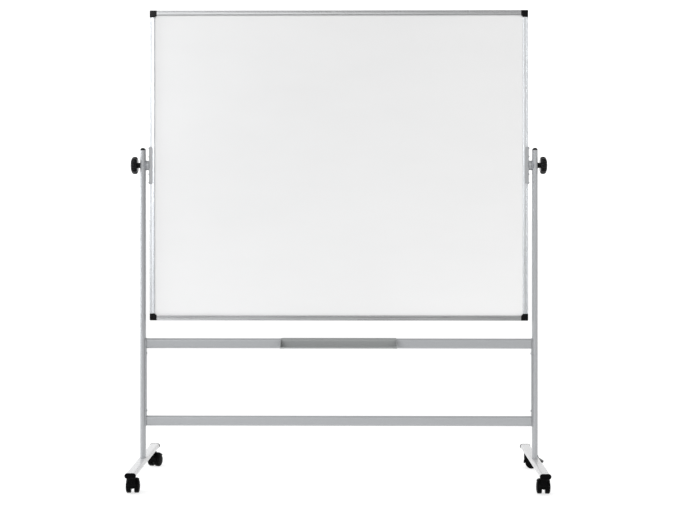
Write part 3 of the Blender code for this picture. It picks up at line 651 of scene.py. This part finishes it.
# ---------------------------------------------------------------- stand
def rings_along(node, along, long_axis, steps):
    """Flat-oval rings round a CAD node's middle; steps holds (inset, place along)."""
    low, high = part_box(node)
    short_axis = 3 - along - long_axis
    half_long = (high[long_axis] - low[long_axis]) / 2
    half_short = (high[short_axis] - low[short_axis]) / 2
    rings = []
    for inset, height in steps:
        ring = []
        for first, second in stadium(half_long, half_short, inset):
            point = (low + high) / 2
            point[long_axis] += first
            point[short_axis] += second
            point[along] = height
            ring.append(point)
        rings.append(ring)
    return rings


def add_tube(node, along, long_axis):
    low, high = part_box(node)
    steps = ((EDGE, low[along]), (0.0, low[along] + EDGE),
             (0.0, high[along] - EDGE), (EDGE, high[along]))
    add(node + "_tube", skin(rings_along(node, along, long_axis, steps)), node)


def add_upright_cap(side_name):
    """Domed plug on top of an upright."""
    node = "upright_cap_" + side_name
    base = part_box("upright_" + side_name)[1].z
    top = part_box(node)[1].z
    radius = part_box(node)[1].x - middle(node).x
    steps = [(0.0, base), (0.0, base + AIR)]
    for step in range(1, 13):
        angle = math.radians(DOME_END * step / 12)
        rise = (top - base - AIR) * math.sin(angle) / math.sin(math.radians(DOME_END))
        steps.append((radius * (1.0 - math.cos(angle)), base + AIR + rise))
    add(node + "_dome", skin(rings_along(node, 2, 1, steps)), node)


def add_foot_cap(side_name, end_name):
    """End plug of a foot, with a rolled rim round a slightly dished face."""
    node = f"foot_cap_{end_name}_{side_name}"
    low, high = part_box(node)
    end = -1.0 if end_name == "front" else 1.0
    face = low.y if end < 0 else high.y
    depths = ((0.0, FOOT_CAP_PLATE), (0.0, 0.0016), (0.0003, 0.0008), (0.0008, 0.0003),
              (0.0016, 0.0), (0.0026, 0.0), (0.0032, 0.0003), (0.0040, 0.0005))
    steps = [(inset, face - end * depth) for inset, depth in depths]
    add(node + "_plug", skin(rings_along(node, 1, 0, steps)), node, "castor_plastic")


def add_side_plate(side_name, side):
    node = "side_plate_" + side_name
    low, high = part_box(node)
    outline = [(low.y, low.z), (high.y, low.z), (high.y, high.z), (low.y, high.z)]
    mesh = prism(outline, "YZ", low.x, high.x)

    def through_the_sheet(edge):
        return abs(edge.verts[0].co.x - edge.verts[1].co.x) > 0.001

    mesh = softened(mesh, STRIP_CORNER, 6, 35.0, through_the_sheet)
    add(node + "_strip", softened(mesh, EDGE, 2, 60.0), node)
    inner = min(abs(low.x), abs(high.x))
    heights = (middle("upper_rail").z - STRIP_SCREW_HIGH,
               middle("lower_rail").z + STRIP_SCREW_LOW)
    for number, height in enumerate(heights, 1):
        add_screw(f"{node}_screw_{number}", node, (side * inner, 0.0, height),
                  (-side, 0.0, 0.0))


def add_stand():
    for node in ("upper_rail", "lower_rail"):
        add_tube(node, 0, 2)
    for side_name, side in SIDES:
        add_tube("upright_" + side_name, 2, 1)
        add_tube("foot_" + side_name, 1, 0)
        add_upright_cap(side_name)
        add_side_plate(side_name, side)
        for end_name in ("front", "rear"):
            add_foot_cap(side_name, end_name)


# ---------------------------------------------------------------- pen tray
def rounded_path(corners, radius, steps):
    """Replace each inner corner of a path with an arc."""
    points = [Vector(corners[0])]
    for before, corner, after in zip(corners, corners[1:], corners[2:]):
        before, corner, after = Vector(before), Vector(corner), Vector(after)
        incoming = (corner - before).normalized()
        outgoing = (after - corner).normalized()
        turn = incoming.angle(outgoing)
        run = radius * math.tan(turn / 2)
        start = corner - incoming * run
        cross = incoming.x * outgoing.y - incoming.y * outgoing.x
        side = 1.0 if cross > 0 else -1.0
        normal = Vector((-incoming.y, incoming.x)) * side
        centre = start + normal * radius
        for step in range(steps + 1):
            angle = side * turn * step / steps
            points.append(centre + Matrix.Rotation(angle, 2) @ (start - centre))
    points.append(Vector(corners[-1]))
    return points


def strip_outline(path, near, far):
    """Outline of a sheet that follows a path; near and far are its two offsets."""
    normals = []
    for index in range(len(path)):
        before = path[max(index - 1, 0)]
        after = path[min(index + 1, len(path) - 1)]
        direction = (after - before).normalized()
        normals.append(Vector((-direction.y, direction.x)))
    first = [point + normal * near for point, normal in zip(path, normals)]
    second = [point + normal * far for point, normal in zip(path, normals)]
    return first + second[::-1]


def tray_path(rail_radius, crown, front, floor, lip):
    """Middle line of the tray sheet, from the hook behind the rail to the front lip."""
    middle_radius = rail_radius + AIR + TRAY_WALL / 2
    hook = [Vector((middle_radius, TRAY_HOOK_END))]
    hook += [Vector(point) for point in arc((0.0, crown), middle_radius, 0, 180, 20)]
    trough = rounded_path([(-middle_radius, crown - TRAY_FRONT_START),
                           (-middle_radius, floor), (front, floor), (front, lip)],
                          TRAY_BEND, 6)
    return hook + trough


def add_tray():
    low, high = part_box("pen_tray")
    rail = middle("upper_rail")
    rail_low, rail_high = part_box("upper_rail")
    radius = (rail_high.y - rail_low.y) / 2
    crown = rail_high.z - rail.z - radius
    floor = low.z - rail.z + TRAY_WALL / 2
    front = low.y + TRAY_WALL / 2
    lip = floor + TRAY_LIP
    path = tray_path(radius, crown, front, floor, lip)
    place = Matrix.Translation((0.0, 0.0, rail.z))
    outline = [tuple(point) for point in strip_outline(path, -TRAY_WALL / 2, TRAY_WALL / 2)]
    mesh = prism(outline, "YZ", low.x, high.x)
    add("pen_tray_sheet", softened(mesh, 0.0003, 2, 60.0), "pen_tray", place=place)

    cheek_low, cheek_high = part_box("pen_tray_end_right")
    back = cheek_high.y
    base = cheek_low.z - rail.z
    top = cheek_high.z - rail.z
    corners = [(back, base), (front, base), (front - TRAY_WALL / 2, lip),
               (back - CHEEK_SHOULDER, top), (back, top)]
    cheek = [tuple(point) for point in rounded_path(corners, CHEEK_ROUND, 5)]
    skirt = [tuple(point) for point in
             strip_outline(path[SKIRT_START:], 0.0, TRAY_WALL / 2 + 0.0004)]
    inner = cheek_low.x
    for side_name, side in SIDES:
        node = "pen_tray_end_" + side_name
        plate = softened(prism(cheek, "YZ", inner, cheek_high.x), 0.0005, 3, 60.0)
        sleeve = prism(skirt, "YZ", inner - TRAY_SLEEVE, inner + 0.0005)
        sleeve = softened(sleeve, 0.0002, 2, 60.0)
        add(node + "_cap", sided(joined([plate, sleeve]), side), node, place=place)


# ---------------------------------------------------------------- castors
def castor_frame(name):
    """Axes of a castor at its stem: X along the axle, Y along the trail."""
    stem = Vector(JOINTS[name + "_turn"]["pos_m"])
    hub = Vector(JOINTS[name + "_roll_a"]["pos_m"])
    stem.z = 0.0
    trail = Vector((hub.x - stem.x, hub.y - stem.y, 0.0)).normalized()
    axle = trail.cross(Vector((0, 0, 1)))
    turn = Matrix((axle, trail, Vector((0, 0, 1)))).transposed().to_4x4()
    return Matrix.Translation(stem) @ turn, hub.z


def wheel_mesh():
    """Wheel with a rounded tread and a domed face broken by two fine grooves."""
    profile = [
        (0.0010, 0.0), (0.0010, 0.0072), (0.0002, 0.0080), (0.0002, 0.0200),
        (0.0004, 0.0222), (0.0012, 0.0240), (0.0026, 0.02485), (0.0045, 0.0250),
        (0.0145, 0.0250), (0.0159, 0.0247), (0.0172, 0.0238), (0.0184, 0.0222),
        (0.0192, 0.0203), (0.0191, 0.0197), (0.0193, 0.0192), (0.0199, 0.0180),
        (0.0206, 0.0150), (0.0211, 0.0118), (0.0214, 0.0090), (0.0213, 0.0084),
        (0.0211, 0.0080), (0.0213, 0.0076), (0.0216, 0.0060), (0.0217, 0.0030), (0.0217, 0.0),
    ]
    return turned(profile, 72)


def hood_mesh(top, axle_height, braked):
    """Cover over the wheels, the block on it that holds the stem, and the web between them."""
    axle = (CASTOR_TRAIL, axle_height)
    rear_end = HOOD_REAR_END_BRAKED if braked else HOOD_REAR_END
    inner = arc(axle, HOOD_INNER, rear_end, HOOD_FRONT_END, 32)
    rings = []
    for across, radius in HOOD_SECTION:
        outline = arc(axle, radius, HOOD_FRONT_END, rear_end, 32) + inner
        rings.append([Vector((-across, along, up)) for along, up in outline])
    rings += [[Vector((-point.x, point.y, point.z)) for point in ring]
              for ring in reversed(rings)]
    cover = skin(rings)
    boss_outline = ([(-BOSS_FRONT, BOSS_FOOT), (-BOSS_FRONT, top), (BOSS_REAR, top)]
                    + arc(axle, (HOOD_INNER + HOOD_OUTER) / 2, 108, 172, 10))
    boss = prism(boss_outline, "YZ", -BOSS_HALF_WIDTH, BOSS_HALF_WIDTH)

    def upright_edge(edge):
        ends = [vert.co for vert in edge.verts]
        return math.dist(ends[0].xy, ends[1].xy) < 1e-6

    def top_edge(edge):
        return min(vert.co.z for vert in edge.verts) > top - 1e-5

    boss = softened(boss, BOSS_ROUND, 6, 30.0, upright_edge)
    boss = softened(boss, 0.0010, 3, 50.0, top_edge)
    low = axle_height - WEB_BELOW_AXLE
    web_outline = arc(axle, HOOD_WEB_RADIUS, 191, 45, 20)
    if braked:
        web_outline += arc(BRAKE_PIVOT, BRAKE_HUB + WEB_ROUND_BRAKE, 60, -80, 10)
    web_outline += [(CASTOR_TRAIL + along, low) for along in WEB_FOOT]
    web = softened(prism(web_outline, "YZ", -HOOD_WEB, HOOD_WEB), 0.0006, 2, 60.0)
    return joined([cover, boss, web])


def brake_mesh():
    """Foot lever with a ribbed tread plate that slopes down, on a round hub."""
    drop = -BRAKE_DROP
    outline = [(0.0, BRAKE_HUB), (0.0028, 0.0028), (0.0045, 0.0008), (0.0066, -0.0034)]
    start, end = Vector((0.0099, -0.0082)), Vector((BRAKE_REACH - 0.0008, drop + 0.0006))
    lift = Vector((0.0005, 0.0005))
    for rib in range(BRAKE_RIBS):
        near = start.lerp(end, rib / BRAKE_RIBS)
        far = start.lerp(end, (rib + 0.55) / BRAKE_RIBS)
        outline += [tuple(near), tuple(near + lift), tuple(far + lift), tuple(far)]
    outline += [(BRAKE_REACH, drop), (BRAKE_REACH - 0.0065, drop - 0.0050),
                (0.0070, -0.0115), (0.0040, -0.0050), (0.0, -0.0038)]
    arm = BRAKE_HALF_WIDTH - HOOD_WEB - 0.0006
    arms = []
    for side in (-1.0, 1.0):
        ends = sorted((side * BRAKE_HALF_WIDTH, side * (BRAKE_HALF_WIDTH - arm)))
        arms.append(softened(prism(outline, "YZ", *ends), 0.0003, 2, 60.0))
    bridge_outline = [point for point in outline if point[0] > BRIDGE_FRONT]
    bridge_outline.append((BRIDGE_FRONT, BRIDGE_UNDER))
    bridge = prism(bridge_outline, "YZ", -HOOD_WEB - 0.0010, HOOD_WEB + 0.0010)
    hub = turned([(-BRAKE_HALF_WIDTH, 0.0), (-BRAKE_HALF_WIDTH, BRAKE_HUB - 0.0005),
                  (-BRAKE_HALF_WIDTH + 0.0005, BRAKE_HUB), (BRAKE_HALF_WIDTH - 0.0005, BRAKE_HUB),
                  (BRAKE_HALF_WIDTH, BRAKE_HUB - 0.0005), (BRAKE_HALF_WIDTH, 0.0)], 32)
    return joined(arms + [bridge, hub])


def add_castors():
    for name in CASTORS:
        place, axle_height = castor_frame(name)
        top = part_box(name + "_hood")[1].z
        braked = name + "_brake" in BODY_OF
        add(name + "_hood_moulding", hood_mesh(top, axle_height, braked), name + "_hood",
            place=place)
        for letter, side in (("a", -1.0), ("b", 1.0)):
            node = f"{name}_wheel_{letter}"
            hub = Matrix.Translation((side * WHEEL_INNER, CASTOR_TRAIL, axle_height))
            add(node + "_tyre", sided(wheel_mesh(), side), node, place=place @ hub)
        if braked:
            pivot = Matrix.Translation((0.0, *BRAKE_PIVOT))
            add(name + "_brake_lever", brake_mesh(), name + "_brake", place=place @ pivot)


# ---------------------------------------------------------------- carried-over CAD nodes
def finish_cad_nodes():
    for node, item in frame["nodes"].items():
        # Carried-over aluminium nodes take the darkened copy of the aluminium, which carries painted shade.
        look = SLOT_OF[node].replace("aluminium", "aluminium_shaded_level")
        item.data.materials.clear()
        item.data.materials.append(LOOKS[look].material)
        item.data.shade_smooth()
        item.data.set_sharp_from_angle(angle=math.radians(CAD_SHARP_ANGLE))


# ---------------------------------------------------------------- studio
BACKDROP = 1.08                     # brightness of the white behind the object
DEPTH_LEVELS = (                    # its levels from front to back
    (0.0, 0.42), (0.38, 0.50), (0.50, 0.78), (0.86, 0.80), (0.95, 1.0))
WIDTH_LEVELS = (                    # and from left to right
    (0.0, 1.02), (0.40, 1.04), (0.62, 1.0), (1.0, 0.92))
LIGHT_TARGET = (0.0, 0.0, 1.2)
KEY_PLACE = (-1.4, -3.2, 2.6)
KEY_STRENGTH = 0.97
KEY_ANGLE = 50                      # apparent width of the key light, in degrees
SIDE_PANELS = (                     # place, size, strength and colour of each upright panel
    ("left_softbox", (-2.2, -4.5, 1.5), (2.1, 2.2), 15.0, (0.93, 0.96, 1.0)),
    ("right_softbox", (3.0, -3.6, 1.5), (1.4, 2.0), 30.0, (1.0, 0.99, 0.97)),
    ("left_rim", (-1.85, -0.10, 1.25), (0.35, 1.7), 14.0, (0.93, 0.96, 1.0)),
)
FLOOR_ALBEDO = 0.50
FLOOR_HEIGHT = -0.0005
FLOOR_HALF_SIZE = 60.0
FLOOR_GLOW = 0.66
FLOOR_BRIGHT_FROM = -0.50           # the floor glows behind this Y and fades before it
FLOOR_DIM_FROM = -1.60
CAMERA_PLACE = (0.074, -5.348, 1.1249)
CAMERA_YAW = 0.0103
CAMERA_LENS = 71.63
CAMERA_SHIFT = (-0.0073, -0.0839)


def add_world():
    """White behind the object, dimmer in front of it and towards the right."""
    world = bpy.data.worlds.new("studio")
    bpy.context.scene.world = world
    world.use_nodes = True
    nodes, links = world.node_tree.nodes, world.node_tree.links
    split = nodes.new("ShaderNodeSeparateXYZ")
    links.new(nodes.new("ShaderNodeTexCoord").outputs["Generated"], split.inputs["Vector"])
    levels = []
    for axis, stops in (("Y", DEPTH_LEVELS), ("X", WIDTH_LEVELS)):
        span = nodes.new("ShaderNodeMapRange")
        span.inputs["From Min"].default_value = -1.0
        span.inputs["From Max"].default_value = 1.0
        links.new(split.outputs[axis], span.inputs["Value"])
        curve = nodes.new("ShaderNodeFloatCurve")
        links.new(span.outputs["Result"], curve.inputs["Value"])
        points = curve.mapping.curves[0].points
        while len(points) < len(stops):
            points.new(0.5, 0.5)
        for point, (place, level) in zip(points, stops):
            point.location = (place, level / 2)
        curve.mapping.update()
        levels.append(curve.outputs["Value"])
    product = nodes.new("ShaderNodeMath")
    product.operation = "MULTIPLY"
    for level, socket in zip(levels, product.inputs):
        links.new(level, socket)
    strength = nodes.new("ShaderNodeMath")
    strength.operation = "MULTIPLY"
    strength.inputs[1].default_value = 4 * BACKDROP
    links.new(product.outputs["Value"], strength.inputs[0])
    links.new(strength.outputs["Value"], nodes["Background"].inputs["Strength"])
    nodes["Background"].inputs["Color"].default_value = (1.0, 1.0, 1.0, 1.0)


def aim(item, target):
    direction = Vector(target) - item.location
    item.rotation_euler = direction.to_track_quat("-Z", "Y").to_euler()


def add_light(name, kind, location, target, energy, colour, **settings):
    data = bpy.data.lights.new(name, kind)
    data.energy = energy
    data.color = colour
    for setting, value in settings.items():
        setattr(data, setting, value)
    item = bpy.data.objects.new(name, data)
    bpy.context.scene.collection.objects.link(item)
    item.location = location
    aim(item, target)


def add_lights():
    add_light("key", "SUN", KEY_PLACE, LIGHT_TARGET, KEY_STRENGTH, (1.0, 1.0, 1.0),
              angle=math.radians(KEY_ANGLE))
    for name, place, (width, height), energy, colour in SIDE_PANELS:
        add_light(name, "AREA", place, LIGHT_TARGET, energy, colour,
                  shape="RECTANGLE", size=width, size_y=height)


def add_floor():
    """Matt floor that glows under and behind the object and fades towards the viewer."""
    look = Look("studio_floor", (FLOOR_ALBEDO,) * 3, 0.9, Specular_IOR_Level=0.0)
    split = look.nodes.new("ShaderNodeSeparateXYZ")
    look.links.new(look.place, split.inputs["Vector"])
    glow = look.spread(split.outputs["Y"], 0.0, FLOOR_GLOW, FLOOR_DIM_FROM, FLOOR_BRIGHT_FROM)
    look.links.new(glow, look.shader.inputs["Emission Strength"])
    look.shader.inputs["Emission Color"].default_value = (1.0, 1.0, 1.0, 1.0)
    look.tint(look.noise(3.0), 0.99)
    half = FLOOR_HALF_SIZE
    bm = bmesh.new()
    corners = [(-half, -half), (half, -half), (half, half), (-half, half)]
    bm.faces.new([bm.verts.new((x, y, FLOOR_HEIGHT)) for x, y in corners])
    mesh = bpy.data.meshes.new("floor")
    bm.to_mesh(mesh)
    bm.free()
    mesh.materials.append(look.material)
    floor = bpy.data.objects.new("studio_floor", mesh)
    bpy.context.scene.collection.objects.link(floor)


def add_camera():
    data = bpy.data.cameras.new("camera")
    data.sensor_width = 36.0
    data.lens = CAMERA_LENS
    data.shift_x, data.shift_y = CAMERA_SHIFT
    camera = bpy.data.objects.new("camera", data)
    camera.location = CAMERA_PLACE
    camera.rotation_euler = (math.pi / 2, 0.0, CAMERA_YAW)
    bpy.context.scene.collection.objects.link(camera)
    bpy.context.scene.camera = camera
    bpy.context.scene.view_settings.view_transform = "Standard"


# ---------------------------------------------------------------- build
finish_cad_nodes()
# Level profiles take the darkened aluminium copy (painted shade) and upright profiles take the lightened copy
# (painted light).
for frame_name, frame_axis, frame_sign, frame_look in (
        ("frame_top", 0, 1.0, "aluminium_shaded_level"),
        ("frame_bottom", 0, -1.0, "aluminium_shaded_level"),
        ("frame_left", 2, -1.0, "aluminium_lit_upright"),
        ("frame_right", 2, 1.0, "aluminium_lit_upright")):
    add_profile(frame_name, frame_axis, frame_sign, frame_look)
add_corner_caps()
add_pivots()
add_clamps()
add_stand()
add_tray()
add_castors()
add_world()
add_lights()
add_floor()
add_camera()
